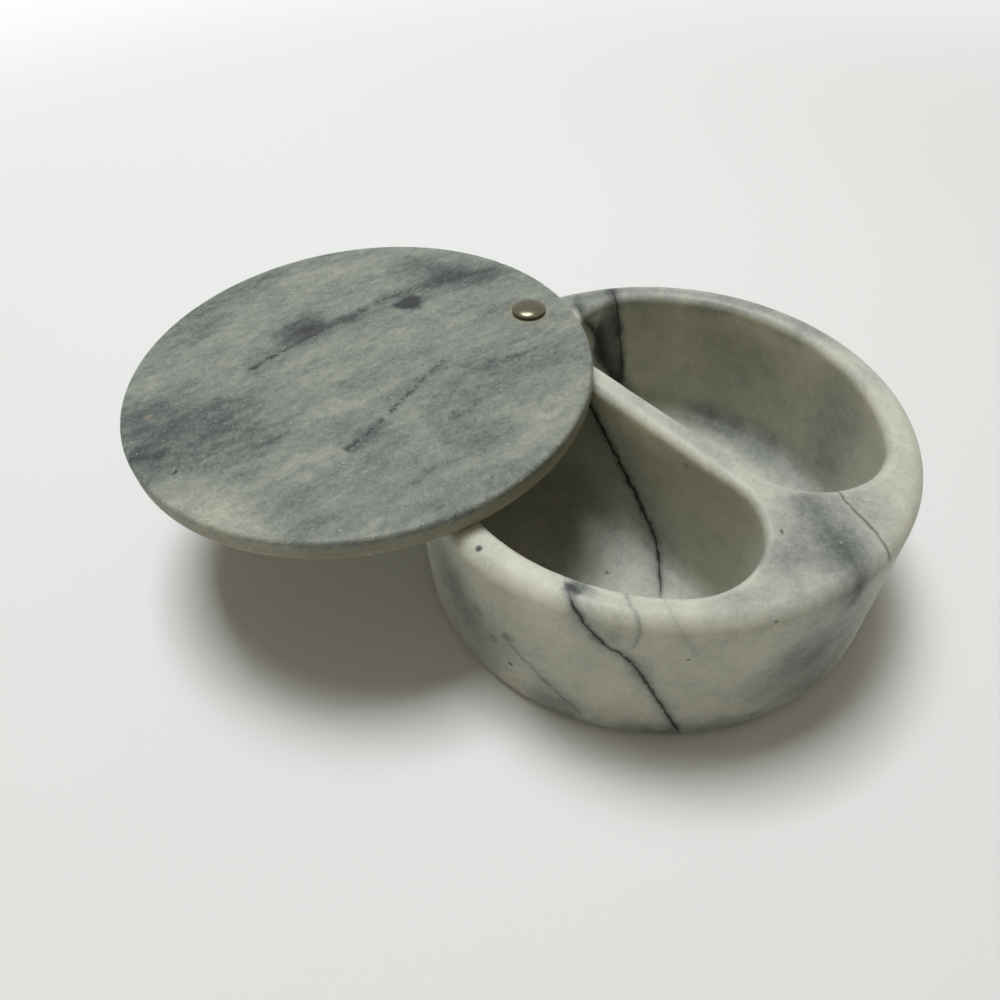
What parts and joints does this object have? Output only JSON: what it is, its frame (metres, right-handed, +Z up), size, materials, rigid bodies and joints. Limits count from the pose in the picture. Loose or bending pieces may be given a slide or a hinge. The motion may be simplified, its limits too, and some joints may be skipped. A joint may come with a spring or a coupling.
{
  "type": "salt cellar",
  "caption": "Round marble salt cellar: a block with D-shaped pockets either side of a divider, and a disc lid that swivels aside on a domed metal pin.",
  "frame": {"origin": "centre of the base's flat underside", "axes": "+Z up, out of the pockets; the divider runs along Y, with the lid's pin at its +Y end; the lid is stored swung open towards -X"},
  "size_m": [0.1657, 0.1782, 0.054],
  "materials": {
    "pale_marble": "polished",
    "grey_marble": "polished",
    "pin_steel": "polished",
    "socket_brass": "turned",
    "bush_nylon": "satin"
  },
  "bodies": {
    "base": {"base": "pale_marble", "pin_socket": "socket_brass", "pivot_pin": "pin_steel"},
    "lid": {"lid": "grey_marble", "lid_bush": "bush_nylon"}
  },
  "joints": [
    {"name": "lid_swivel", "type": "hinge", "parent": "base", "child": "lid", "pos_m": [0, 0.048, 0.046], "axis": [0, 0, 1], "continuous": true}
  ]
}
